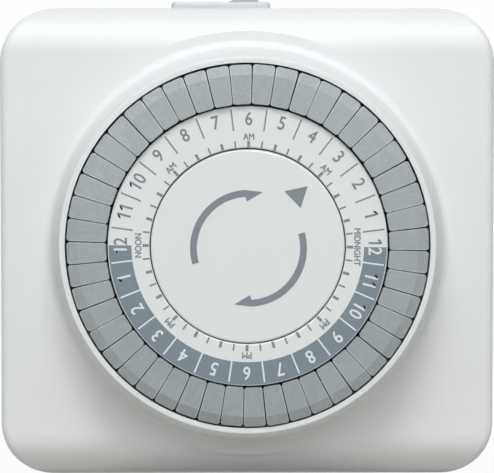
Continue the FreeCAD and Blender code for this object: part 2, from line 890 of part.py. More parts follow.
def clutch_washer():
    low = second_wheel_z + wheel_height
    ring = pipe(second_centre.x, second_centre.y, low, low + washer_height, sleeve_r + seat_clearance,
                washer_r)
    notch = box(second_centre.x, second_centre.x + washer_r + 1, second_centre.y - 0.4,
                second_centre.y + 0.4, low - 1, low + 1)
    return ring.cut(notch)


def motor_pinion():
    centre = motor_pinion_centre
    low = plate_top_level + part_gap
    teeth = gear(centre, pinion_teeth, train_module, motor_pinion_phase, low, motor_pinion_top)
    shaft = rod(centre.x, centre.y, plate_level - motor_wall - pinion_shaft_inside, low, axle_r)
    return fuse([teeth, shaft])


# Motor


def motor_housing():
    x = motor_x
    y = motor_y
    can = rod(x, y, motor_floor, plate_level, motor_r)
    can = can.makeFillet(motor_edge_r, pick_edges(can, lambda e: e.BoundBox.ZMax < motor_floor + 0.01))
    can = can.cut(rod(x, y, motor_floor + motor_wall, plate_level - motor_wall, motor_r - motor_wall))
    ears = []
    for ear in motor_ears():
        arm = rod(ear.x, ear.y, plate_level - motor_wall, plate_level, motor_ear_r)
        inward = (V(motor_x, motor_y, 0) - V(ear.x, ear.y, 0)).normalize()
        middle = V(ear.x, ear.y, 0) + inward * motor_ear_neck
        arm = arm.fuse(rod(middle.x, middle.y, plate_level - motor_wall, plate_level, motor_ear_r))
        ears.append(arm)
    low_bearing = rod(x, y, motor_floor + motor_wall / 2, motor_floor + motor_wall + bearing_height,
                      bearing_r)
    high_bearing = rod(x, y, plate_level - motor_wall - bearing_height, plate_level - motor_wall / 2,
                       bearing_r)
    can = fuse([can, low_bearing, high_bearing] + ears)
    bore_low = motor_floor + motor_wall
    can = can.cut(rod(x, y, bore_low, plate_level - motor_wall, axle_r + axle_clearance))
    pinion = motor_pinion_centre
    can = can.cut(rod(pinion.x, pinion.y, plate_level - 2 * motor_wall, plate_level + 1,
                      axle_r + axle_clearance))
    for ear in motor_ears():
        can = can.cut(rod(ear.x, ear.y, motor_floor, plate_level + 1, plate_screw_r + screw_bite_clearance))
    return can


def motor_coil():
    x = motor_x
    y = motor_y
    low = motor_floor + motor_wall + coil_gap
    high = plate_level - motor_wall - pinion_shaft_inside - coil_gap
    outer = motor_r - motor_wall - coil_gap
    bobbin = pipe(x, y, low, high, coil_inner_r, coil_inner_r + bobbin_hub)
    lower = pipe(x, y, low, low + bobbin_flange, coil_inner_r, outer)
    upper = pipe(x, y, high - bobbin_flange, high, coil_inner_r, outer)
    winding = pipe(x, y, low + bobbin_flange, high - bobbin_flange, coil_inner_r + bobbin_hub,
                   outer - winding_inset)
    return fuse([bobbin, lower, upper, winding])


def motor_rotor():
    x = motor_x
    y = motor_y
    magnet = rod(x, y, motor_floor + rotor_end_space, plate_level - rotor_end_space, rotor_r)
    ends = pick_edges(magnet, lambda e: e.BoundBox.ZLength < 0.01)
    magnet = magnet.makeChamfer(rotor_edge, ends)
    low = motor_floor + motor_wall + wheel_gap
    high = plate_level - motor_wall - wheel_gap
    return fuse([magnet, rod(x, y, low, high, axle_r)])


def lead(points):
    """Insulated wire through a few points, with an arc at each bend."""
    bends = [(points[0], points[0], points[0])]
    for index in range(1, len(points) - 1):
        point = points[index]
        before = (points[index - 1] - point).normalize()
        after = (points[index + 1] - point).normalize()
        half_turn = before.getAngle(after) / 2
        reach = lead_bend_r / math.tan(half_turn)
        inward = (before + after).normalize()
        middle = point + inward * (lead_bend_r / math.sin(half_turn) - lead_bend_r)
        bends.append((point + before * reach, middle, point + after * reach))
    bends.append((points[-1], points[-1], points[-1]))
    edges = []
    for index in range(len(bends) - 1):
        start = bends[index][2]
        end = bends[index + 1][0]
        edges.append(Part.LineSegment(start, end).toShape())
        if index + 1 < len(bends) - 1:
            edges.append(Part.Arc(*bends[index + 1]).toShape())
    path = Part.Wire(edges)
    section = Part.Wire([Part.makeCircle(lead_r, points[0], points[1] - points[0])])
    return path.makePipeShell([section], True, True)


def motor_leads():
    centre = V(motor_x, motor_y, 0)
    level = motor_floor + motor_height / 2 - lead_below_middle
    start = centre + at_angle(motor_r, neutral_lead_exit, level)
    neutral_end = V(start.x + neutral_lead_reach, 0, neutral_strap_z + strip)
    neutral = lead([start, start + at_angle(neutral_lead_start, neutral_lead_exit),
                    neutral_end + V(0, 0, neutral_lead_drop), neutral_end])
    start = centre + at_angle(motor_r, line_lead_exit, level)
    turn_up = start + at_angle(line_lead_start, line_lead_exit)
    line_end = V(turn_up.x, tip_y, line_strap_top)
    line = lead([start, turn_up, V(line_end.x, line_end.y, level), line_end])
    return Part.makeCompound([neutral, line])


# Switch

def follower_lever():
    half = lever_width / 2
    arm_end = tip_x + arm_past_tip
    arm = box(pivot_x, arm_end, tip_y - half, tip_y + half, lever_bottom, lever_top)
    boss = rod_along(V(pivot_x, tip_y - half, lever_pivot_level), V(0, 1, 0), lever_width, lever_boss_r)
    nose = box(-nose_radial / 2, nose_radial / 2, -nose_tangential / 2, nose_tangential / 2,
               lever_pivot_level, nose_top)
    crown = pick_edges(nose, lambda e: e.BoundBox.ZMin > nose_top - 0.01 and e.BoundBox.YLength < 0.01)
    nose = nose.makeFillet(nose_edge_r, crown)
    nose.rotate(ORIGIN, Z_AXIS, pointer_angle)
    nose.translate(V(tip_x, tip_y, 0))
    nub = rod_along(V(tip_x, tip_y - half, lever_bottom), V(0, 1, 0), lever_width, nub_r)
    rib = box(pivot_x + rib_from_pivot, tip_x - rib_from_tip, tip_y - rib_width / 2, tip_y + rib_width / 2,
              lever_pivot_level, lever_top + rib_height)
    lever = fuse([arm, boss, nose, nub, rib])
    bore = rod_along(V(pivot_x, tip_y - lever_width, lever_pivot_level), V(0, 1, 0), 2 * lever_width,
                     lever_pin_r + lever_pin_clearance)
    return lever.cut(bore)


def lever_pin():
    reach = lever_width / 2 + part_gap + bracket_thickness
    return rod_along(V(pivot_x, tip_y - reach, lever_pivot_level), V(0, 1, 0), 2 * reach, lever_pin_r)


def moving_contact():
    half = lever_width / 2
    low = leaf_middle - leaf_thickness / 2
    leaf = box(leaf_tip_x, leaf_root_x + leaf_root_length, tip_y - half, tip_y + half, low, leaf_top)
    button = rod(button_x, tip_y, low - contact_button_height, low, contact_button_r)
    face = pick_edges(button, lambda e: e.BoundBox.ZMax < low - contact_button_height + 0.01)
    return fuse([leaf, button.makeFillet(contact_edge_r, face)])


def line_strap():
    half = strap_width / 2
    low = shoulder_top
    high = line_strap_top
    blade_x = blade_spacing / 2
    post_x = leaf_root_x + leaf_root_length - terminal_thickness + 2 * terminal_back
    rise = box(blade_x - half, blade_x + half, blade_row_y - half, tip_y, low, high)
    run_left = motor_x + line_strap_start
    run = box(run_left, post_x + terminal_thickness, tip_y - half, tip_y + half, low, high)
    post = box(post_x, post_x + terminal_thickness, tip_y - half, tip_y + half, low,
               leaf_top + terminal_over_leaf)
    strap = fuse([rise, run, post])
    slot_low = leaf_middle - leaf_thickness / 2 - terminal_slot_clearance
    slot_high = leaf_top + terminal_slot_clearance
    slot = box(post_x - 1, post_x + terminal_thickness - terminal_back, tip_y - half - 1, tip_y + half + 1,
               slot_low, slot_high)
    return strap.cut(slot)


def fixed_contact():
    left = button_x - fixed_pad_left
    right = button_x + fixed_pad_right
    button_low = fixed_button_top - strip
    pad_low = button_low - strip
    near = tip_y - lever_width / 2 - fixed_pad_front
    far = tip_y + lever_width / 2
    pad = box(left, right, near, far, pad_low, button_low)
    button = rod(button_x, tip_y, button_low, fixed_button_top, contact_button_r)
    tab_low = line_z - strip / 2
    leg = box(left, right, near - strip, near, tab_low, button_low)
    tab_side = outlet_row_y + fixed_tab_side
    down = box(left, right, tab_side, near, tab_low, tab_low + strip)
    into = box(left, contact_start_x, tab_side, tab_side + fixed_tab_width, tab_low, tab_low + strip)
    return fuse([pad, button, leg, down, into])


# Plug

def blade(x, riser_top):
    half_x = blade_thickness / 2
    half_y = blade_width / 2
    body = box(x - half_x, x + half_x, blade_row_y - half_y, blade_row_y + half_y, -blade_length, back_wall)
    tip = pick_edges(body, lambda e: e.BoundBox.ZMax < -blade_length + 0.01)
    body = body.makeChamfer(blade_tip_bevel, tip)
    shoulder = box(x - blade_shoulder_x, x + blade_shoulder_x, blade_row_y - blade_shoulder_y,
                   blade_row_y + blade_shoulder_y, back_wall, shoulder_top)
    shapes = [body, shoulder]
    if riser_top > shoulder_top:
        half = blade_riser_width / 2
        shapes.append(box(x - half_x, x + half_x, blade_row_y - half, blade_row_y + half, back_wall,
                          riser_top))
    hole = rod_along(V(x - blade_thickness, blade_row_y, blade_hole_from_tip - blade_length), V(1, 0, 0),
                     2 * blade_thickness, blade_hole_r)
    return fuse(shapes).cut(hole)


def line_blade():
    return blade(blade_spacing / 2, shoulder_top)


def neutral_blade():
    return blade(-blade_spacing / 2, neutral_strap_z)


def ground_pin():
    straight = ground_pin_length - ground_pin_r
    shaft = rod(0, ground_y, -straight, 0, ground_pin_r)
    end = Part.makeSphere(ground_pin_r, V(0, ground_y, -straight))
    root = rod(0, ground_y, 0, back_wall, ground_root_r)
    shoulder = rod(0, ground_y, back_wall, ground_strap_z, ground_shoulder_r)
    return fuse([shaft, end, root, shoulder])


def neutral_strap():
    low = neutral_strap_z
    high = low + strip
    x = -blade_spacing / 2
    half = strap_width / 2
    lane = neutral_lane / 2
    side = outlet_row_y - neutral_tab_side
    head = box(x - half, x + half, -lane, blade_row_y + half, low, high)
    run = box(x - half, leg_x + strip, -lane, lane, low, high)
    leg = box(leg_x, leg_x + strip, -lane, side, low, neutral_z + strip / 2)
    tab = box(leg_x, contact_start_x, side - neutral_tab_width, side,
              neutral_z - strip / 2, neutral_z + strip / 2)
    return fuse([head, run, leg, tab])


def ground_strap():
    low = ground_strap_z
    half = ground_strap_width / 2
    side = ground_tab_width / 2
    run = box(-half, leg_x + strip, ground_y - half, ground_y + half, low, low + strip)
    leg = box(leg_x, leg_x + strip, outlet_ground_y - side, outlet_ground_y + side, low,
              outlet_middle + strip / 2)
    tab = box(leg_x, contact_start_x, outlet_ground_y - side, outlet_ground_y + side,
              outlet_middle - strip / 2, outlet_middle + strip / 2)
    return fuse([run, leg, tab])


# Outlet

def outlet_block():
    y = outlet_half_height
    inner_face = face_x - case_wall - wall_fit
    body = box(outlet_back_x, face_x, -y, y, outlet_floor, outlet_roof)
    face_edges = pick_edges(body, lambda e: e.BoundBox.XMin > face_x - 0.01)
    body = body.makeChamfer(outlet_edge_bevel, face_edges)
    flange = box(inner_face - outlet_flange, inner_face, -y - outlet_flange, y + outlet_flange,
                 outlet_floor, outlet_roof + outlet_flange)
    block = fuse([body, flange])
    left = outlet_back_x + outlet_wall
    right = face_x - outlet_face_thickness
    half_y = contact_cavity_y / 2
    half_z = contact_cavity_z / 2
    for level in (line_z, neutral_z):
        block = block.cut(box(left, right, outlet_row_y - half_y, outlet_row_y + half_y,
                              level - half_z, level + half_z))
        block = block.cut(box(outlet_back_x - 1, left + 1, outlet_row_y - tab_hole_low,
                              outlet_row_y + tab_hole_high, level - strip, level + strip))
    half = ground_cavity / 2
    block = block.cut(box(left, right, outlet_ground_y - half, outlet_ground_y + half,
                          outlet_middle - half, outlet_middle + half))
    side = ground_tab_hole / 2
    block = block.cut(box(outlet_back_x - 1, left + 1, outlet_ground_y - side, outlet_ground_y + side,
                          outlet_middle - strip, outlet_middle + strip))
    slot = outlet_slot_width / 2
    for level, length in ((line_z, outlet_line_slot), (neutral_z, outlet_neutral_slot)):
        block = block.cut(box(right - 1, face_x + 1, outlet_row_y - length / 2, outlet_row_y + length / 2,
                              level - slot, level + slot))
    hole = rod_along(V(right - 1, outlet_ground_y, outlet_middle), V(1, 0, 0), outlet_depth,
                     outlet_ground_hole_r)
    return block.cut(hole)


def outlet_contact(level):
    half_y = contact_width / 2
    gap = contact_pair_gap / 2
    outer = gap + contact_leaf
    y0 = outlet_row_y - half_y
    y1 = outlet_row_y + half_y
    pair = box(contact_start_x, contact_end_x, y0, y1, level - outer, level + outer)
    mouth = box(contact_start_x + 1, contact_end_x + 1, y0 - 1, y1 + 1, level - gap, level + gap)
    return pair.cut(mouth)


def outlet_ground_contact():
    start = V(contact_start_x, outlet_ground_y, outlet_middle)
    outer = ground_sleeve_r + ground_sleeve_wall
    sleeve = rod_along(start, V(1, 0, 0), contact_length, outer)
    bore = rod_along(start + V(1, 0, 0), V(1, 0, 0), contact_length, ground_sleeve_r)
    slit = box(contact_start_x + 2, contact_end_x + 1, outlet_ground_y - outer - 1,
               outlet_ground_y + outer + 1, outlet_middle - ground_sleeve_slit / 2,
               outlet_middle + ground_sleeve_slit / 2)
    return sleeve.cut(bore).cut(slit)


# Rocker switch

rocker_top = case_height / 2
bezel_top = rocker_top + bezel_proud
pivot_y = bezel_top - paddle_pivot_drop
paddle_half = rocker_body_width / 2 - rocker_wall - paddle_end_gap
paddle_half_height = rocker_body_height / 2 - rocker_wall - paddle_gap


def rocker_bezel():
    half_x = bezel_width / 2
    half_z = bezel_height / 2
    frame = box(rocker_x - half_x, rocker_x + half_x, rocker_top, bezel_top,
                rocker_level - half_z, rocker_level + half_z)
    corner = pick_edges(frame, lambda e: e.BoundBox.YLength > bezel_proud - 0.01)
    frame = frame.makeFillet(bezel_corner_r, corner)
    crown = pick_edges(frame, lambda e: e.BoundBox.YMin > bezel_top - 0.01)
    frame = frame.makeFillet(bezel_crown_r, crown)
    body_x = rocker_body_width / 2
    body_z = rocker_body_height / 2
    body = box(rocker_x - body_x, rocker_x + body_x, rocker_top - rocker_body_depth, rocker_top + 0.5,
               rocker_level - body_z, rocker_level + body_z)
    shell = fuse([frame, body])
    well_x = body_x - rocker_wall
    well_z = body_z - rocker_wall
    shell = shell.cut(box(rocker_x - well_x, rocker_x + well_x,
                          rocker_top - rocker_body_depth + rocker_wall, bezel_top + 1,
                          rocker_level - well_z, rocker_level + well_z))
    start = V(rocker_x, pivot_y, rocker_level - well_z - trunnion_length)
    return shell.cut(rod_along(start, Z_AXIS, 2 * (well_z + trunnion_length),
                               trunnion_r + axle_clearance))


def override_rocker():
    """Paddle in its rest place, with its right end raised."""
    half = paddle_half
    lift = half * math.tan(math.radians(paddle_throw / 2))
    low = rocker_level - paddle_half_height
    high = rocker_level + paddle_half_height
    keel_x = half * paddle_keel_share
    end_top = paddle_crown + lift
    corners = [
        (-half, end_top, paddle_edge_r),
        (-half, end_top - paddle_end_height, paddle_low_edge_r),
        (-keel_x, -paddle_depth, paddle_keel_r),
        (keel_x, -paddle_depth, paddle_keel_r),
        (half, end_top - paddle_end_height, paddle_low_edge_r),
        (half, end_top, paddle_edge_r),
        (0, paddle_crown, 0),
    ]
    paddle = prism(corners, low, high)
    reach = paddle_gap + trunnion_length - trunnion_end_gap
    trunnion = rod(0, 0, low - reach, high + reach, trunnion_r)
    paddle = fuse([paddle, trunnion])
    paddle.rotate(ORIGIN, Z_AXIS, paddle_throw / 2)
    paddle.translate(V(rocker_x, pivot_y, 0))
    return paddle


def rocker_terminals():
    base = rocker_top - rocker_body_depth
    low = rocker_level - strip / 2
    high = rocker_level + strip / 2
    first_x = rocker_x - rocker_body_width / 4
    half = load_lug_width / 2
    bend_y = tip_y + line_lug_bend
    line = fuse([
        box(first_x - half, first_x + half, bend_y, base, low, high),
        box(first_x - half, first_x + half, bend_y - strip, bend_y, line_strap_top, high),
    ])
    second_x = rocker_x + rocker_body_width / 4
    near = tip_y - lever_width / 2 - fixed_pad_front
    left = button_x - fixed_pad_left
    load = fuse([
        box(second_x, second_x + load_lug_width, near - strip, base, low, high),
        box(second_x, left, near - strip, near, low, high),
    ])
    return Part.makeCompound([line, load])


pieces = {
    "front_cover": front_cover,
    "rear_case": rear_case,
    "case_screws": case_screws,
    "gear_plate": gear_plate,
    "frame_screws": frame_screws,
    "gear_axles": gear_axles,
    "tappet_carrier": tappet_carrier,
    "dial_ring": dial_ring,
    "centre_cap": centre_cap,
    "first_gear": first_gear,
    "second_wheel": second_wheel,
    "second_pinion": second_pinion,
    "clutch_washer": clutch_washer,
    "motor_pinion": motor_pinion,
    "motor_housing": motor_housing,
    "motor_coil": motor_coil,
    "motor_rotor": motor_rotor,
    "motor_leads": motor_leads,
    "follower_lever": follower_lever,
    "lever_pin": lever_pin,
    "moving_contact": moving_contact,
    "line_strap": line_strap,
    "fixed_contact": fixed_contact,
    "line_blade": line_blade,
    "neutral_blade": neutral_blade,
    "ground_pin": ground_pin,
    "neutral_strap": neutral_strap,
    "ground_strap": ground_strap,
    "outlet_block": outlet_block,
    "outlet_line_contact": lambda: outlet_contact(line_z),
    "outlet_neutral_contact": lambda: outlet_contact(neutral_z),
    "outlet_ground_contact": outlet_ground_contact,
    "rocker_bezel": rocker_bezel,
    "override_rocker": override_rocker,
    "rocker_terminals": rocker_terminals,
}
for hour in range(hour_count):
    pieces["tappets_hour_%02d" % hour] = lambda hour=hour: tappets_of_hour(hour)

os.makedirs("parts", exist_ok=True)
for name, make in pieces.items():
    shape = stand_up(make())
    solids = len(shape.Solids)
    print(name, "solids", solids, "volume %.1f" % shape.Volume, "valid", shape.isValid())
    shape.exportStep("parts/%s.step" % name)

print("lever turn %.3f deg, leaf turn %.3f deg" % (lever_turn, leaf_turn))
print("lever pivot x %.4f z %.4f, tip y %.4f" % (pivot_x, lever_pivot_level, tip_y))
print("leaf root x %.4f z %.4f" % (leaf_root_x, leaf_middle))
print("rocker pivot x %.4f y %.4f" % (rocker_x, pivot_y))
for name, centre in (("second", second_centre), ("first", first_centre), ("motor", motor_pinion_centre)):
    print(name, "gear centre %.4f %.4f" % (centre.x, centre.y))
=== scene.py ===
# %% [markdown]
# # A plug-in timer switch
#
# The timer is a rounded square case of white plastic with a day dial on its front. The construction
# is already fixed in a frame of real-size pieces, so this lesson only dresses it: it stands the
# camera and the lights, gives each piece its finish, and models what the frame leaves plain, such
# as the printing on the dial and the rounded edges of the grey tappets, with a highlight painted along their
# sides.

# %% Load the frame
import bpy
import json
import math
import random
from mathutils import Matrix, Vector


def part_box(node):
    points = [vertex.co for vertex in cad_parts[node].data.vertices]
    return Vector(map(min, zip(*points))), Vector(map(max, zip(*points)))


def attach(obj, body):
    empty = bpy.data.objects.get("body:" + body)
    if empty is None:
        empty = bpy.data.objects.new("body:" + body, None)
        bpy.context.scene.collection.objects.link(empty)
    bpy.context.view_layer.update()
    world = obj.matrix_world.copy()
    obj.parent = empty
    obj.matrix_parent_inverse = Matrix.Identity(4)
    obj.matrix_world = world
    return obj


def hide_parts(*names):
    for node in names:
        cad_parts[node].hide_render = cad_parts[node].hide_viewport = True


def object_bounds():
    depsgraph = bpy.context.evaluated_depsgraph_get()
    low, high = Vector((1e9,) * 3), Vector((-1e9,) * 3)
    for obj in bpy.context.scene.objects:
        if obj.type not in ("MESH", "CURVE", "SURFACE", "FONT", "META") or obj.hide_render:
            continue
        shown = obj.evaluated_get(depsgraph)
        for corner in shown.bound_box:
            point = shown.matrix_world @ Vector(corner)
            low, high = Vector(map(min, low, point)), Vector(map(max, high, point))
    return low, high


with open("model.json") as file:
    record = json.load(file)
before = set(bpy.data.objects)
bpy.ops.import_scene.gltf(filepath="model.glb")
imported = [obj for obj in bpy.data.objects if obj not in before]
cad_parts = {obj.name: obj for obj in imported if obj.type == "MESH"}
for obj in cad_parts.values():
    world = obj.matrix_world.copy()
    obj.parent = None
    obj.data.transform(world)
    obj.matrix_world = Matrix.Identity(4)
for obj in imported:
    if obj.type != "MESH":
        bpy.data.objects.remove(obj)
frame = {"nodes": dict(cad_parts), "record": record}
cad_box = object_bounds()
nodes = frame["nodes"]
MM = 0.001
print("pieces in the frame:", len(nodes))

# %% [markdown]
# The frame has +Z up and the dial looks towards -Y. It is easier to think of the dial as a drawing:
# x to the right, y up, and a depth measured out from the wall. One helper turns such a point, in
# millimetres, into a place in the scene, and another does the same for a radius and an angle.

# %% Places on the dial
def place(x, y, depth):
    return Vector((x * MM, -depth * MM, y * MM))


def on_dial(radius, degrees, depth):
    turn = math.radians(degrees)
    return place(radius * math.cos(turn), radius * math.sin(turn), depth)


def top_of(node):
    """How far a node reaches out from the wall, in millimetres."""
    return -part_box(node)[0].y / MM


def outer_radius(node):
    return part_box(node)[1].x / MM


RING_TOP = top_of("dial_ring")
CAP_TOP = top_of("centre_cap")
TAPPET_TOP = top_of("tappets_hour_06")
CAP_RADIUS = outer_radius("centre_cap")
print("ring top %.2f, cap top %.2f, tappet top %.2f" % (RING_TOP, CAP_TOP, TAPPET_TOP))

# %% [markdown]
# ## Camera
#
# The photograph looks almost straight at the dial with a lens far enough away that the circles stay
# round, and from a little above its middle, which shows the frame of the top switch. A long lens at
# the measured distance gives the same small amount of perspective, and turning the camera to aim at
# the middle of the picture does the framing without any shift.

# %% Camera
EYE = place(-2.74, 15.5, 363.2)
AIM = place(-0.12, 1.42, 41.5)
SENSOR = 36.0
FOCAL_PIXELS = 2274.7
PICTURE_WIDTH = 494.0

camera_data = bpy.data.cameras.new("camera")
camera_data.sensor_width = SENSOR
camera_data.lens = FOCAL_PIXELS / PICTURE_WIDTH * SENSOR
camera_data.clip_start = 0.01
camera = bpy.data.objects.new("camera", camera_data)
bpy.context.scene.collection.objects.link(camera)
camera.location = EYE
camera.rotation_mode = "QUATERNION"
camera.rotation_quaternion = (AIM - EYE).to_track_quat("-Z", "Y")
bpy.context.scene.camera = camera
print("lens %.1f mm" % camera_data.lens)

# %% [markdown]
# ## Light
#
# The white case shows a soft highlight on its rolled top edge, a shadow below the collar and even
# grey tappets, so a broad lamp hangs high in front and a wider one stands lower, which keeps the edge
# of the shadow soft. Two weak lamps at the sides lift the left and right edges of the case, and the
# world gives the rest. Their strength is set so that a white plastic renders about as it is written.

# %% Lamps and world
def area_lamp(name, where, aim, size, power):
    data = bpy.data.lights.new(name, "AREA")
    data.shape = "RECTANGLE"
    data.size = size[0]
    data.size_y = size[1]
    data.energy = power
    lamp = bpy.data.objects.new(name, data)
    bpy.context.scene.collection.objects.link(lamp)
    lamp.location = where
    lamp.rotation_mode = "QUATERNION"
    lamp.rotation_quaternion = (aim - where).to_track_quat("-Z", "Y")
    return lamp


MIDDLE = place(0, 0, 32)


def lamp_place(distance, height_degrees, side_degrees):
    """A place at a distance from the dial, so far above its axis and so far to one side."""
    rise = math.radians(height_degrees)
    swing = math.radians(side_degrees)
    flat = math.cos(rise)
    way = Vector((flat * math.sin(swing), -flat * math.cos(swing), math.sin(rise)))
    return MIDDLE + way * distance


LAMP_DISTANCE = 0.9
LAMPS = (
    # name, degrees above the axis, degrees to the side, size in metres, power in watts
    ("high_lamp", 57, -3, (0.50, 0.30), 5.3),
    ("low_lamp", 30, 2, (0.70, 0.45), 2.5),
    ("left_lamp", 26, -66, (0.40, 0.40), 0.8),
    ("right_lamp", 26, 66, (0.40, 0.40), 0.8),
)
for name, height, side, size, power in LAMPS:
    area_lamp(name, lamp_place(LAMP_DISTANCE, height, side), MIDDLE, size, power)
print("lamps", len(LAMPS))

world = bpy.data.worlds.new("studio")
bpy.context.scene.world = world
world.use_nodes = True
sky = world.node_tree.nodes["Background"]
sky.inputs["Color"].default_value = (0.97, 0.99, 1.0, 1.0)
sky.inputs["Strength"].default_value = 0.10
bpy.context.scene.view_settings.view_transform = "Standard"

# %% [markdown]
# ## Writing a finish
#
# A finish is a small graph of shader nodes. Written node by node it is long and hard to read, so one
# class wraps a socket and lets Python's own operators add the Math nodes: `1 - mask * 0.2` is then a
# graph. A second class holds one material, with a method that makes any other node.

# %% Shader values as Python expressions
class Value:
    """A number or colour that flows through a shader graph."""

    def __init__(self, tree, socket):
        self.tree = tree
        self.socket = socket

    def math(self, operation, *others):
        node = self.tree.nodes.new("ShaderNodeMath")
        node.operation = operation
        for entry, item in zip(node.inputs, (self,) + others):
            feed(self.tree, entry, item)
        return Value(self.tree, node.outputs[0])

    def __add__(self, other):
        return self.math("ADD", other)

    def __sub__(self, other):
        return self.math("SUBTRACT", other)

    def __rsub__(self, other):
        return (self * -1.0) + other

    def __mul__(self, other):
        return self.math("MULTIPLY", other)

    def clamp(self):
        return self.math("MAXIMUM", 0.0).math("MINIMUM", 1.0)

    __radd__ = __add__
    __rmul__ = __mul__


def feed(tree, entry, item):
    if isinstance(item, Value):
        tree.links.new(item.socket, entry)
    else:
        entry.default_value = item


# %% A material and the nodes in it
class Finish:
    """One material. Constants sit on its shader's own sockets, and only what varies is linked."""

    def __init__(self, name, colour, roughness, **constants):
        self.material = bpy.data.materials.new(name)
        self.material.use_nodes = True
        self.tree = self.material.node_tree
        self.shader = self.tree.nodes["Principled BSDF"]
        self.shader.inputs["Base Color"].default_value = (*colour, 1.0)
        self.shader.inputs["Roughness"].default_value = roughness
        for socket, value in constants.items():
            self.shader.inputs[socket.replace("_", " ")].default_value = value

    def node(self, kind, settings=None, output=0, **sockets):
        made = self.tree.nodes.new(kind)
        for name, value in (settings or {}).items():
            setattr(made, name, value)
        for name, item in sockets.items():
            feed(self.tree, made.inputs[name.replace("_", " ")], item)
        return Value(self.tree, made.outputs[output])

    def position(self, scale=(1.0, 1.0, 1.0)):
        place_on_piece = self.node("ShaderNodeTexCoord", output=3)
        return self.node("ShaderNodeMapping", Vector=place_on_piece, Scale=scale)

    def noise(self, scale, detail=3.0, roughness=0.5, stretch=(1.0, 1.0, 1.0)):
        return self.node("ShaderNodeTexNoise", Vector=self.position(stretch), Scale=scale, Detail=detail,
                         Roughness=roughness)

    def axes(self):
        parts = self.node("ShaderNodeSeparateXYZ", Vector=self.node("ShaderNodeTexCoord", output=3))
        node = parts.socket.node
        return [Value(self.tree, node.outputs[index]) for index in range(3)]

    def mix(self, mask, first, second):
        node = self.tree.nodes.new("ShaderNodeMix")
        node.data_type = "RGBA"
        feed(self.tree, node.inputs["Factor"], mask)
        for entry, item in ((node.inputs[6], first), (node.inputs[7], second)):
            feed(self.tree, entry, item if isinstance(item, Value) else (*item, 1.0))
        return Value(self.tree, node.outputs[2])

    def set(self, socket, item):
        feed(self.tree, self.shader.inputs[socket], item)

    def bump(self, height, distance, strength=1.0):
        made = self.node("ShaderNodeBump", Strength=strength, Distance=distance, Height=height)
        self.set("Normal", made)


def shade(colour, factor):
    return tuple(min(1.0, channel * factor) for channel in colour)


# %% [markdown]
# ## Plastics
#
# The case and the dial are the same satin white plastic. A moulded face is never quite flat: it has a
# fine skin that breaks up its reflection, and a faint unevenness of tone. Both come from noise at the
# size of that skin, and they change only the colour, the roughness and the bump.

# %% White plastics
CASE_WHITE = (0.775, 0.80, 0.81)
DIAL_WHITE = (0.77, 0.80, 0.81)
OUTLET_WHITE = (0.72, 0.74, 0.75)


def moulded_plastic(name, colour, roughness, skin=0.000012, tone=0.03):
    finish = Finish(name, colour, roughness, IOR=1.48)
    cloud = finish.noise(38.0, 4.0)
    grain = finish.noise(1600.0, 2.0)
    finish.set("Base Color", finish.mix(cloud, shade(colour, 1.0 - tone), shade(colour, 1.0 + tone)))
    finish.set("Roughness", roughness - 0.06 + 0.12 * grain)
    finish.bump(grain, skin)
    return finish.material


case_plastic = moulded_plastic("case_plastic", CASE_WHITE, 0.43)
dial_plastic = moulded_plastic("dial_plastic", DIAL_WHITE, 0.30, skin=0.000006, tone=0.015)
outlet_plastic = moulded_plastic("outlet_plastic", OUTLET_WHITE, 0.5)
rocker_plastic = moulded_plastic("rocker_plastic", (0.60, 0.64, 0.66), 0.32, tone=0.02)
paddle_plastic = moulded_plastic("paddle_plastic", (0.50, 0.52, 0.54), 0.3, tone=0.02)
frame_plastic = moulded_plastic("frame_plastic", (0.70, 0.69, 0.64), 0.45)
carrier_plastic = moulded_plastic("carrier_plastic", (0.15, 0.16, 0.17), 0.45)

# %% Metals and the rest
def worn_metal(name, colour, roughness, streak=(40.0, 40.0, 900.0)):
    finish = Finish(name, colour, roughness, Metallic=1.0)
    brushed = finish.noise(6.0, 4.0, 0.6, stretch=streak)
    tarnish = finish.noise(160.0, 5.0, 0.6)
    finish.set("Base Color", finish.mix(tarnish, shade(colour, 0.72), shade(colour, 1.08)))
    finish.set("Roughness", roughness - 0.1 + 0.2 * brushed)
    finish.bump(brushed, 0.000006)
    return finish.material


def enamelled_winding():
    finish = Finish("winding", (0.42, 0.16, 0.05), 0.3, Coat_Weight=0.6)
    turns = finish.node("ShaderNodeTexWave", {"wave_type": "BANDS", "bands_direction": "Y"},
                        Vector=finish.position(), Scale=900.0, Distortion=0.6)
    finish.set("Base Color", finish.mix(turns, (0.20, 0.07, 0.02), (0.52, 0.22, 0.08)))
    finish.bump(turns, 0.00005)
    return finish.material


brass = worn_metal("brass", (0.80, 0.62, 0.33), 0.3)
zinc_steel = worn_metal("zinc_steel", (0.62, 0.62, 0.63), 0.34)
ferrite = moulded_plastic("ferrite", (0.06, 0.06, 0.065), 0.5)
wire_sleeve = moulded_plastic("wire_sleeve", (0.04, 0.04, 0.045), 0.45)
winding = enamelled_winding()

# %% [markdown]
# Each node of the frame gets the finish of its slot. The white pieces that show in the photograph
# and the brass of the plug matter most, but the pieces inside are dressed as well, because someone may
# take the case apart.

# %% Dress the frame's own pieces
SLOT_FINISH = {
    "white_plastic": case_plastic,
    "dial_plastic": dial_plastic,
    "tappet_plastic": None,
    "rocker_plastic": rocker_plastic,
    "carrier_plastic": carrier_plastic,
    "frame_plastic": frame_plastic,
    "outlet_plastic": outlet_plastic,
    "brass_strip": brass,
    "steel": zinc_steel,
    "magnet": ferrite,
    "winding": winding,
    "wire_sleeve": wire_sleeve,
}
slot_of = {part["node"]: part["material_slot"] for part in frame["record"]["subparts"]}


def dress(piece, material):
    piece.data.materials.clear()
    piece.data.materials.append(material)


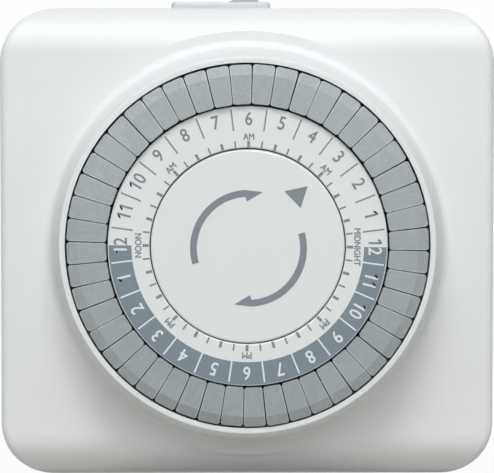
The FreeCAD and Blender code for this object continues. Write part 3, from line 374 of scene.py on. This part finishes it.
for name, piece in nodes.items():
    finish = SLOT_FINISH[slot_of[name]]
    if finish is not None:
        dress(piece, finish)
dress(nodes["override_rocker"], paddle_plastic)
print("dressed", len(nodes), "pieces")

# %% [markdown]
# ## Tappets
#
# The tappets are satin grey. Years of fingertips leave fine scratches along each one, from the number
# ring out to the collar, so the scratch pattern has to turn with the tappet. A noise stretched along
# the radius does that: its coordinates are the angle round the dial and the radius, worked out from
# the place on the piece. The same angle tells how near a point is to the side of its tappet, where
# the grey is lightened as a painted highlight.

# %% Grey tappet finish
TAPPET_GREY = (0.415, 0.463, 0.48)
TAPPET_PITCH = 7.5
FIRST_BOUNDARY = -1.5
# Where the painted highlight along each tappet side begins, and how fast it rises.
SIDE_HIGHLIGHT_FROM = 0.41
SIDE_HIGHLIGHT_RISE = 14.0


def tappet_finish():
    finish = Finish("tappet_plastic", TAPPET_GREY, 0.34, IOR=1.5)
    x, y, z = finish.axes()
    radius = (x * x + z * z).math("SQRT")
    angle = z.math("ARCTAN2", x)
    lanes = finish.node("ShaderNodeCombineXYZ", X=angle * 60.0, Y=radius * 90.0, Z=y * 90.0)
    scratch = finish.node("ShaderNodeTexNoise", Vector=lanes, Scale=4.0, Detail=6.0, Roughness=0.7)
    cloud = finish.noise(260.0, 5.0, 0.6)
    streak = ((scratch - 0.56) * 6.0).clamp()
    across = (angle * (math.degrees(1.0) / TAPPET_PITCH) - FIRST_BOUNDARY / TAPPET_PITCH).math("FRACT")
    # Painted highlight: the grey is made paler near each side of a tappet.
    edge = (((across - 0.5).math("ABSOLUTE") - SIDE_HIGHLIGHT_FROM) * SIDE_HIGHLIGHT_RISE).clamp()
    side_highlight = (edge * (0.25 + cloud)).clamp()
    tone = (cloud * 0.45 + streak * 0.55).clamp()
    face = finish.mix(tone, shade(TAPPET_GREY, 0.84), shade(TAPPET_GREY, 1.20))
    # The paler grey here is the painted side highlight.
    finish.set("Base Color", finish.mix(side_highlight, face, shade(TAPPET_GREY, 1.35)))
    finish.set("Roughness", 0.17 + 0.2 * cloud + 0.12 * streak)
    finish.bump(scratch * 0.75 + cloud * 0.25, 0.00016)
    return finish.material


tappet_plastic = tappet_finish()

# %% [markdown]
# Each tappet is a small moulded wedge with a broken edge all round, a sloped outer end and a stem that
# slides in the carrier. One is modelled from its plan, a wedge with rounded corners, which is raised
# into a solid that widens a little upwards. Two cuts give it the falling crown and the steeper outer
# end, and a bevel rounds what a mould can't leave sharp. The rest are copies. On the real dial no two
# sit quite alike, so each copy leans a little and lies a trifle lower or higher.

# %% Small helpers for meshes
def only(piece):
    bpy.ops.object.select_all(action="DESELECT")
    piece.select_set(True)
    bpy.context.view_layer.objects.active = piece


def settle(piece):
    """Put a piece's place into its mesh, so that its object sits at the origin."""
    only(piece)
    bpy.ops.object.transform_apply(location=True, rotation=True, scale=True)


def joined(pieces, name):
    bpy.ops.object.select_all(action="DESELECT")
    for piece in pieces:
        piece.select_set(True)
    bpy.context.view_layer.objects.active = pieces[0]
    if len(pieces) > 1:
        bpy.ops.object.join()
    result = bpy.context.view_layer.objects.active
    result.name = name
    result.data.name = name
    return result


def block(low, high):
    """A box between two corners, given in millimetres."""
    bpy.ops.object.select_all(action="DESELECT")
    centre = [(a + b) / 2 * MM for a, b in zip(low, high)]
    bpy.ops.mesh.primitive_cube_add(size=1.0, location=centre)
    made = bpy.context.active_object
    made.scale = [(b - a) * MM for a, b in zip(low, high)]
    settle(made)
    return made


# %% The first tappet, lying along +X with its face up +Z
TAPPET_IN = 20.12
TAPPET_OUT = 25.78
HEAD_LOW = 36.45
STEM_LOW = 29.6
STEM_IN = 21.7
STEM_OUT = 24.3
STEM_HALF = 0.7
SIDE_GAP = 0.11
HALF_PITCH = math.radians(3.75)
CROWN_DROP = 0.62
END_SLOPE_START = 24.3
END_SLOPE_TURN = math.radians(25)
EDGE_ROUND = 0.17
INNER_CORNER = 0.35
OUTER_CORNER = 0.42
CORNER_STEPS = 8
DRAFT = 0.92
FACE_LEVEL = TAPPET_TOP - 0.04


def rounded_plan(corners, radii):
    """The points of a flat outline with each of its corners turned into an arc."""
    points = []
    for index, radius in enumerate(radii):
        corner = Vector(corners[index])
        back = (Vector(corners[index - 1]) - corner).normalized()
        ahead = (Vector(corners[(index + 1) % len(corners)]) - corner).normalized()
        half = back.angle(ahead) / 2
        centre = corner + (back + ahead).normalized() * (radius / math.sin(half))
        start = corner + back * (radius / math.tan(half)) - centre
        sweep = start.angle_signed(corner + ahead * (radius / math.tan(half)) - centre)
        for step in range(CORNER_STEPS + 1):
            turn = Matrix.Rotation(-sweep * step / CORNER_STEPS, 2)
            points.append(centre + turn @ start)
    return points


def first_tappet():
    inner_half = TAPPET_IN * math.tan(HALF_PITCH) - SIDE_GAP / 2
    outer_half = TAPPET_OUT * math.tan(HALF_PITCH) - SIDE_GAP / 2
    plan = rounded_plan([(TAPPET_IN, -inner_half), (TAPPET_OUT, -outer_half), (TAPPET_OUT, outer_half),
                         (TAPPET_IN, inner_half)], [INNER_CORNER, OUTER_CORNER, OUTER_CORNER, INNER_CORNER])
    mesh = bpy.data.meshes.new("head")
    mesh.from_pydata([(x * MM, y * MM * DRAFT, HEAD_LOW * MM) for x, y in plan], [], [list(range(len(plan)))])
    head = bpy.data.objects.new("head", mesh)
    bpy.context.scene.collection.objects.link(head)
    only(head)
    bpy.ops.object.mode_set(mode="EDIT")
    bpy.ops.mesh.select_all(action="SELECT")
    bpy.ops.mesh.extrude_region_move(TRANSFORM_OT_translate={"value": (0, 0, (FACE_LEVEL - HEAD_LOW) * MM)})
    bpy.ops.transform.resize(value=(1.0, 1.0 / DRAFT, 1.0))
    bpy.ops.mesh.select_all(action="SELECT")
    bpy.ops.mesh.normals_make_consistent(inside=False)
    bpy.ops.mesh.bisect(plane_co=(TAPPET_IN * MM, 0, FACE_LEVEL * MM), use_fill=True, clear_outer=True,
                        plane_no=Vector((CROWN_DROP, 0, TAPPET_OUT - TAPPET_IN)).normalized(), threshold=1e-6)
    bpy.ops.object.mode_set(mode="OBJECT")
    only(head)
    bpy.ops.object.mode_set(mode="EDIT")
    bpy.ops.mesh.select_all(action="SELECT")
    slope_level = FACE_LEVEL - CROWN_DROP * (END_SLOPE_START - TAPPET_IN) / (TAPPET_OUT - TAPPET_IN)
    bpy.ops.mesh.bisect(plane_co=(END_SLOPE_START * MM, 0, slope_level * MM), use_fill=True, clear_outer=True,
                        plane_no=(math.sin(END_SLOPE_TURN), 0, math.cos(END_SLOPE_TURN)), threshold=1e-6)
    bpy.ops.mesh.select_all(action="SELECT")
    bpy.ops.mesh.normals_make_consistent(inside=False)
    bpy.ops.object.mode_set(mode="OBJECT")
    rounding = head.modifiers.new("rounding", "BEVEL")
    rounding.width = EDGE_ROUND * MM
    rounding.segments = 3
    rounding.limit_method = "ANGLE"
    rounding.angle_limit = math.radians(12)
    bpy.ops.object.modifier_apply(modifier=rounding.name)
    bpy.ops.object.shade_smooth_by_angle(angle=math.radians(35))
    even = head.modifiers.new("even_shading", "WEIGHTED_NORMAL")
    even.keep_sharp = True
    bpy.ops.object.modifier_apply(modifier=even.name)
    stem = block((STEM_IN, -STEM_HALF, STEM_LOW), (STEM_OUT, STEM_HALF, HEAD_LOW + 0.3))
    return joined([head, stem], "tappet")


# %% Two tappets for each hour
rng = random.Random(48)
pattern = first_tappet()
stand = Matrix.Rotation(math.radians(90), 4, "X")
hour_nodes = ["tappets_hour_%02d" % hour for hour in range(24)]
for hour, name in enumerate(hour_nodes):
    pair = []
    for index in (2 * hour, 2 * hour + 1):
        degrees = FIRST_BOUNDARY + TAPPET_PITCH * (index + 0.5)
        copy = bpy.data.objects.new("tappet_copy", pattern.data.copy())
        bpy.context.scene.collection.objects.link(copy)
        middle = Matrix.Translation(((TAPPET_IN + TAPPET_OUT) / 2 * MM, 0, FACE_LEVEL * MM))
        lean = (Matrix.Rotation(math.radians(rng.uniform(-1.1, 1.1)), 4, "X")
                @ Matrix.Rotation(math.radians(rng.uniform(-0.1, 0.7)), 4, "Y")
                @ Matrix.Rotation(math.radians(rng.uniform(-0.3, 0.3)), 4, "Z"))
        sink = Matrix.Translation((rng.uniform(-0.05, 0.03) * MM, 0, -rng.uniform(0.02, 0.14) * MM))
        turn = Matrix.Rotation(math.radians(degrees + rng.uniform(-0.07, 0.07)), 4, "Z")
        copy.matrix_world = stand @ turn @ sink @ middle @ lean @ middle.inverted()
        settle(copy)
        pair.append(copy)
    made = joined(pair, name + "_faces")
    dress(made, tappet_plastic)
    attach(made, name)
    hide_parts(name)
bpy.data.objects.remove(pattern)
print("tappets", 2 * len(hour_nodes))

# %% [markdown]
# ## Printing on the dial
#
# The scale is pad-printed on the ring: a tick for each half hour, a line between the hours, plain
# numbers, and a grey band behind the night half. A print is a thin skin of ink, so each mark is a thin
# piece lying on the plastic. Drawn as real pieces the edges stay sharp from any distance.

# %% Ink
INK_GREY = (0.225, 0.262, 0.29)
BAND_GREY = (0.205, 0.255, 0.295)
INK_WHITE = (0.76, 0.79, 0.80)
INK_THICKNESS = 0.02
BAND_LIFT = 0.004


def ink(name, colour):
    finish = Finish(name, colour, 0.42, IOR=1.45)
    patchy = finish.noise(900.0, 3.0, 0.6)
    finish.set("Base Color", finish.mix(patchy, shade(colour, 0.9), shade(colour, 1.1)))
    finish.set("Roughness", 0.36 + 0.12 * patchy)
    return finish.material


grey_ink = ink("grey_ink", INK_GREY)
band_ink = ink("band_ink", BAND_GREY)
white_ink = ink("white_ink", INK_WHITE)

# %% Lay a flat mark on the dial
def lay_flat(piece, spot, degrees):
    """Turn a piece drawn in the x-y plane so that it lies on the dial, its top pointing outwards."""
    upright = Matrix.Rotation(math.radians(90), 4, "X")
    turn = Matrix.Rotation(math.radians(90 - degrees), 4, "Y")
    piece.matrix_world = Matrix.Translation(spot) @ turn @ upright


# %% Flat marks: bars and ring sectors
def bar(radius_in, radius_out, degrees, width, depth):
    """A straight mark along a radius of the dial."""
    bpy.ops.object.select_all(action="DESELECT")
    bpy.ops.mesh.primitive_cube_add(size=1.0)
    mark = bpy.context.active_object
    mark.scale = (width * MM, (radius_out - radius_in) * MM, INK_THICKNESS * MM)
    bpy.ops.object.transform_apply(location=False, rotation=False, scale=True)
    lay_flat(mark, on_dial((radius_in + radius_out) / 2, degrees, depth), degrees)
    settle(mark)
    return mark


def sector(radius_in, radius_out, start, end, depth, name):
    """A flat piece of a ring, made by spinning a short radial edge and giving it a thickness."""
    steps = max(2, round((end - start) / 1.25))
    mesh = bpy.data.meshes.new(name)
    points = []
    for step in range(steps + 1):
        degrees = start + (end - start) * step / steps
        points.append(on_dial(radius_in, degrees, depth))
        points.append(on_dial(radius_out, degrees, depth))
    faces = [(2 * i, 2 * i + 1, 2 * i + 3, 2 * i + 2) for i in range(steps)]
    mesh.from_pydata(points, [], faces)
    piece = bpy.data.objects.new(name, mesh)
    bpy.context.scene.collection.objects.link(piece)
    only(piece)
    solid = piece.modifiers.new("thickness", "SOLIDIFY")
    solid.thickness = INK_THICKNESS * MM
    solid.offset = 0.0
    bpy.ops.object.modifier_apply(modifier=solid.name)
    bpy.ops.object.mode_set(mode="EDIT")
    bpy.ops.mesh.select_all(action="SELECT")
    bpy.ops.mesh.normals_make_consistent(inside=False)
    bpy.ops.mesh.faces_shade_flat()
    bpy.ops.object.mode_set(mode="OBJECT")
    return piece


def finish_mark(piece, material, body):
    dress(piece, material)
    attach(piece, body)


# %% Ticks and hour lines
HOUR_STEP = 15.0
HALF_STEP = 7.5
PRINT_TURN = -0.45
TICK_IN = CAP_RADIUS + 0.25
TICK_OUT_HALF = 15.0
TICK_OUT_HOUR = 14.95
TICK_WIDTH_HALF = 0.23
TICK_WIDTH_HOUR = 0.40
LINE_IN = 16.45
LINE_OUT = 19.5
LINE_WIDTH = 0.21
NIGHT_IN = 16.5
NIGHT_OUT = 19.72
print_depth = RING_TOP + INK_THICKNESS / 2 - 0.002

ticks = []
for index in range(48):
    degrees = HALF_STEP * index + PRINT_TURN
    if index % 2:
        ticks.append(bar(TICK_IN, TICK_OUT_HALF, degrees, TICK_WIDTH_HALF, print_depth))
    else:
        ticks.append(bar(TICK_IN, TICK_OUT_HOUR, degrees, TICK_WIDTH_HOUR, print_depth))
finish_mark(joined(ticks, "half_hour_ticks"), grey_ink, "dial")

day_lines = []
night_lines = []
for hour in range(24):
    degrees = HOUR_STEP * hour + HALF_STEP + PRINT_TURN
    if degrees < 180:
        day_lines.append(bar(LINE_IN, LINE_OUT, degrees, LINE_WIDTH, print_depth))
    else:
        night_lines.append(bar(LINE_IN, LINE_OUT, degrees, LINE_WIDTH * 1.1, print_depth + 2 * BAND_LIFT))
finish_mark(joined(day_lines, "day_hour_lines"), grey_ink, "dial")
finish_mark(joined(night_lines, "night_hour_lines"), white_ink, "dial")
night = sector(NIGHT_IN, NIGHT_OUT, 180 + PRINT_TURN, 360 + PRINT_TURN, print_depth, "night_band")
finish_mark(night, band_ink, "dial")
print("ticks", len(ticks), "lines", len(day_lines) + len(night_lines))

# %% [markdown]
# ## Numbers and words
#
# The numbers run counter-clockwise, since the dial itself turns clockwise under a fixed pointer. Each
# one stands with its top outwards. Blender's own plain font is made a mesh before it is placed, then
# scaled to the printed height, so the size doesn't depend on the font's metrics. Its 1 is a plain bar,
# which gets the slanted stroke of the print, and four copies laid a little apart make the strokes
# as bold as printed ones.

# %% Text marks
NUMBER_HEIGHT = 1.86
NUMBER_RADIUS = 18.1
NUMBER_SPREAD = 0.035
WORD_SPREAD = 0.035
COPY_STEP = 0.0012
FLAG_REACH = 0.24
FLAG_DROP = 0.17
FLAG_THICKNESS = 0.13
FLAG_OVERLAP = 0.01
PLAIN_BAR = 0.3
WORD_HEIGHT = 0.90
WORD_RADIUS = 15.55


def flag(bar_left, bar_top, height):
    """The short slanted stroke at the top of a 1, drawn in the units of the font."""
    right = bar_left + FLAG_OVERLAP
    left = bar_left - FLAG_REACH * height
    low = bar_top - FLAG_DROP * height
    thick = FLAG_THICKNESS * height
    outline = [(right, bar_top), (right, bar_top - thick), (left, low - thick), (left, low)]
    points = [(x, y, level) for level in (-0.5, 0.5) for x, y in outline]
    faces = [(0, 1, 2, 3), (7, 6, 5, 4)] + [(i, i + 4, (i + 1) % 4 + 4, (i + 1) % 4) for i in range(4)]
    mesh = bpy.data.meshes.new("flag")
    mesh.from_pydata(points, [], faces)
    piece = bpy.data.objects.new("flag", mesh)
    bpy.context.scene.collection.objects.link(piece)
    only(piece)
    bpy.ops.object.mode_set(mode="EDIT")
    bpy.ops.mesh.select_all(action="SELECT")
    bpy.ops.mesh.normals_make_consistent(inside=False)
    bpy.ops.mesh.faces_shade_flat()
    bpy.ops.object.mode_set(mode="OBJECT")
    return piece


def glyphs(words):
    """The letters as a mesh in the units of the font, with a flag on each plain bar of a 1."""
    bpy.ops.object.select_all(action="DESELECT")
    bpy.ops.object.text_add()
    mark = bpy.context.active_object
    mark.data.body = words
    mark.data.extrude = 0.5
    mark.data.resolution_u = 4
    bpy.ops.object.convert(target="MESH")
    if "1" not in words:
        return bpy.context.active_object
    bpy.ops.object.mode_set(mode="EDIT")
    bpy.ops.mesh.select_all(action="SELECT")
    bpy.ops.mesh.separate(type="LOOSE")
    bpy.ops.object.mode_set(mode="OBJECT")
    letters = list(bpy.context.selected_objects)
    flags = []
    for letter in letters:
        across = [vertex.co.x for vertex in letter.data.vertices]
        upward = [vertex.co.y for vertex in letter.data.vertices]
        height = max(upward) - min(upward)
        if max(across) - min(across) < PLAIN_BAR * height:
            flags.append(flag(min(across), max(upward), height))
    return joined(letters + flags, words)


def text_mark(words, height, radius, degrees, depth, spread, condensed=0.86):
    """Words at a place on the dial, made bold by copies laid a spread apart."""
    mark = glyphs(words)
    corners = [vertex.co for vertex in mark.data.vertices]
    low = Vector([min(corner[axis] for corner in corners) for axis in range(3)])
    high = Vector([max(corner[axis] for corner in corners) for axis in range(3)])
    size = height / (high.y - low.y) * MM
    centre = (low + high) / 2
    for vertex in mark.data.vertices:
        offset = vertex.co - centre
        vertex.co = Vector((offset.x * size * condensed, offset.y * size, offset.z * INK_THICKNESS * MM))
    copies = []
    for step, (right, up) in enumerate(((-1, 0), (1, 0), (0, -1), (0, 1))):
        copy = bpy.data.objects.new(words, mark.data.copy())
        bpy.context.scene.collection.objects.link(copy)
        shift = Vector((right * spread, up * spread, step * COPY_STEP)) * MM
        for vertex in copy.data.vertices:
            vertex.co += shift
        copies.append(copy)
    bpy.data.objects.remove(mark)
    bold = joined(copies, words)
    lay_flat(bold, on_dial(radius, degrees, depth), degrees)
    settle(bold)
    bpy.ops.mesh.customdata_custom_splitnormals_clear()
    bpy.ops.object.shade_flat()
    return bold


# %% Hour numbers
def keep_side(mark, upper):
    """Cut a mark along the edge of the night band and keep one side of it."""
    only(mark)
    bpy.ops.object.mode_set(mode="EDIT")
    bpy.ops.mesh.select_all(action="SELECT")
    across = on_dial(1.0, 90 + PRINT_TURN, 0.0).normalized()
    bpy.ops.mesh.bisect(plane_co=(0, 0, 0), plane_no=across, use_fill=True,
                        clear_inner=upper, clear_outer=not upper, threshold=1e-6)
    bpy.ops.object.mode_set(mode="OBJECT")
    return mark


grey_marks = []
white_marks = []
for hour in range(24):
    words = str(hour % 12 or 12)
    degrees = HOUR_STEP * hour + PRINT_TURN
    over_edge = hour % 12 == 0
    if hour <= 12:
        mark = text_mark(words, NUMBER_HEIGHT, NUMBER_RADIUS, degrees, print_depth, NUMBER_SPREAD)
        grey_marks.append(keep_side(mark, True) if over_edge else mark)
    if hour >= 12 or hour == 0:
        mark = text_mark(words, NUMBER_HEIGHT, NUMBER_RADIUS, degrees, print_depth + 2 * BAND_LIFT,
                         NUMBER_SPREAD)
        white_marks.append(keep_side(mark, False) if over_edge else mark)

for degrees, words in ((45, "AM"), (90, "AM"), (135, "AM"), (225, "PM"), (270, "PM"), (315, "PM"),
                       (180, "NOON"), (0, "MIDNIGHT")):
    grey_marks.append(text_mark(words, WORD_HEIGHT, WORD_RADIUS, degrees + PRINT_TURN, print_depth,
                                WORD_SPREAD))
finish_mark(joined(grey_marks, "day_numbers"), grey_ink, "dial")
finish_mark(joined(white_marks, "night_numbers"), white_ink, "dial")

# %% [markdown]
# ## Pointer and arrows on the cap
#
# The middle cap doesn't turn. It carries a triangle that points at the time and two arrows that say
# which way the dial may be turned. Each arrow is an arc with a slender head, drawn once and turned
# half round for the other one.

# %% Pointer and arrows
ARROW_IN = 7.33
ARROW_OUT = 8.30
ARROW_TAIL = 196.0
ARROW_NECK = 93.6
ARROW_TIP = (2.04, 7.98)
ARROW_BARB = (-0.21, 6.66)
ARROW_CENTRE = (0.10, -0.30)
POINTER = ((5.21, 7.81), (8.50, 8.53), (7.50, 5.40))
cap_print = CAP_TOP + INK_THICKNESS / 2 - 0.002


def flat_outline(points, depth, name):
    """A thin mark with any outline, from points in the dial's own drawing."""
    mesh = bpy.data.meshes.new(name)
    mesh.from_pydata([place(x, y, depth) for x, y in points], [], [list(range(len(points)))])
    piece = bpy.data.objects.new(name, mesh)
    bpy.context.scene.collection.objects.link(piece)
    only(piece)
    bpy.ops.object.mode_set(mode="EDIT")
    bpy.ops.mesh.select_all(action="SELECT")
    bpy.ops.mesh.quads_convert_to_tris()
    bpy.ops.mesh.extrude_region_move(TRANSFORM_OT_translate={"value": (0, -INK_THICKNESS * MM, 0)})
    bpy.ops.mesh.select_all(action="SELECT")
    bpy.ops.mesh.normals_make_consistent(inside=False)
    bpy.ops.mesh.faces_shade_flat()
    bpy.ops.object.mode_set(mode="OBJECT")
    return piece


def arrow_points(turned_over):
    steps = 40
    points = []
    for radius, start, end in ((ARROW_OUT, ARROW_TAIL, ARROW_NECK), (ARROW_IN, ARROW_NECK, ARROW_TAIL)):
        arc = []
        for step in range(steps + 1):
            turn = math.radians(start + (end - start) * step / steps)
            arc.append((radius * math.cos(turn), radius * math.sin(turn)))
        points.append(arc)
    outline = points[0] + [ARROW_TIP, ARROW_BARB] + points[1]
    sign = -1 if turned_over else 1
    return [(sign * x + ARROW_CENTRE[0], sign * y + ARROW_CENTRE[1]) for x, y in outline]


marks = [flat_outline(arrow_points(False), cap_print, "arrow"),
         flat_outline(arrow_points(True), cap_print, "arrow"),
         flat_outline(POINTER, cap_print, "pointer")]
finish_mark(joined(marks, "pointer_and_arrows"), grey_ink, "root")

# %% [markdown]
# ## Floor and backdrop
#
# The timer stands on its lower edge on a pale floor in front of a white sheet. The sheet glows plain
# white to the camera and to reflections only, so that it stays white without lighting the timer, and
# the floor keeps a soft shadow.

# %% Floor and backdrop
FLOOR_LEVEL = cad_box[0].z - 0.00005


def stage_finish(name, colour, glow):
    finish = Finish(name, colour, 0.6)
    path = finish.node("ShaderNodeLightPath")
    outputs = path.socket.node.outputs
    seen = Value(finish.tree, outputs["Is Camera Ray"])
    for word in ("Is Glossy Ray", "Is Transmission Ray"):
        seen = seen.math("MAXIMUM", Value(finish.tree, outputs[word]))
    white = finish.tree.nodes.new("ShaderNodeEmission")
    white.inputs["Strength"].default_value = 1.0
    mixer = finish.tree.nodes.new("ShaderNodeMixShader")
    feed(finish.tree, mixer.inputs[0], seen * glow)
    finish.tree.links.new(finish.shader.outputs[0], mixer.inputs[1])
    finish.tree.links.new(white.outputs[0], mixer.inputs[2])
    finish.tree.links.new(mixer.outputs[0], finish.tree.nodes["Material Output"].inputs[0])
    return finish.material


def sheet_of_stage(name, size, where, turn, material):
    bpy.ops.object.select_all(action="DESELECT")
    bpy.ops.mesh.primitive_plane_add(size=size, location=where, rotation=turn)
    sheet = bpy.context.active_object
    sheet.name = name
    dress(sheet, material)
    return sheet


SHEET_SIZE = 4.0
FLOOR_COLOUR = (0.45, 0.44, 0.40)
FLOOR_GLOW = 0.97
BACKDROP_COLOUR = (0.85, 0.85, 0.85)
sheet_of_stage("floor", SHEET_SIZE, (0, 0, FLOOR_LEVEL), (0, 0, 0),
               stage_finish("floor_white", FLOOR_COLOUR, FLOOR_GLOW))
sheet_of_stage("backdrop", SHEET_SIZE, (0, 0.9, 1.0), (math.radians(90), 0, 0),
               stage_finish("backdrop_white", BACKDROP_COLOUR, 1.0))

# %% Sizes and finish
print("frame box", [round(c / MM, 2) for corner in cad_box for c in corner])
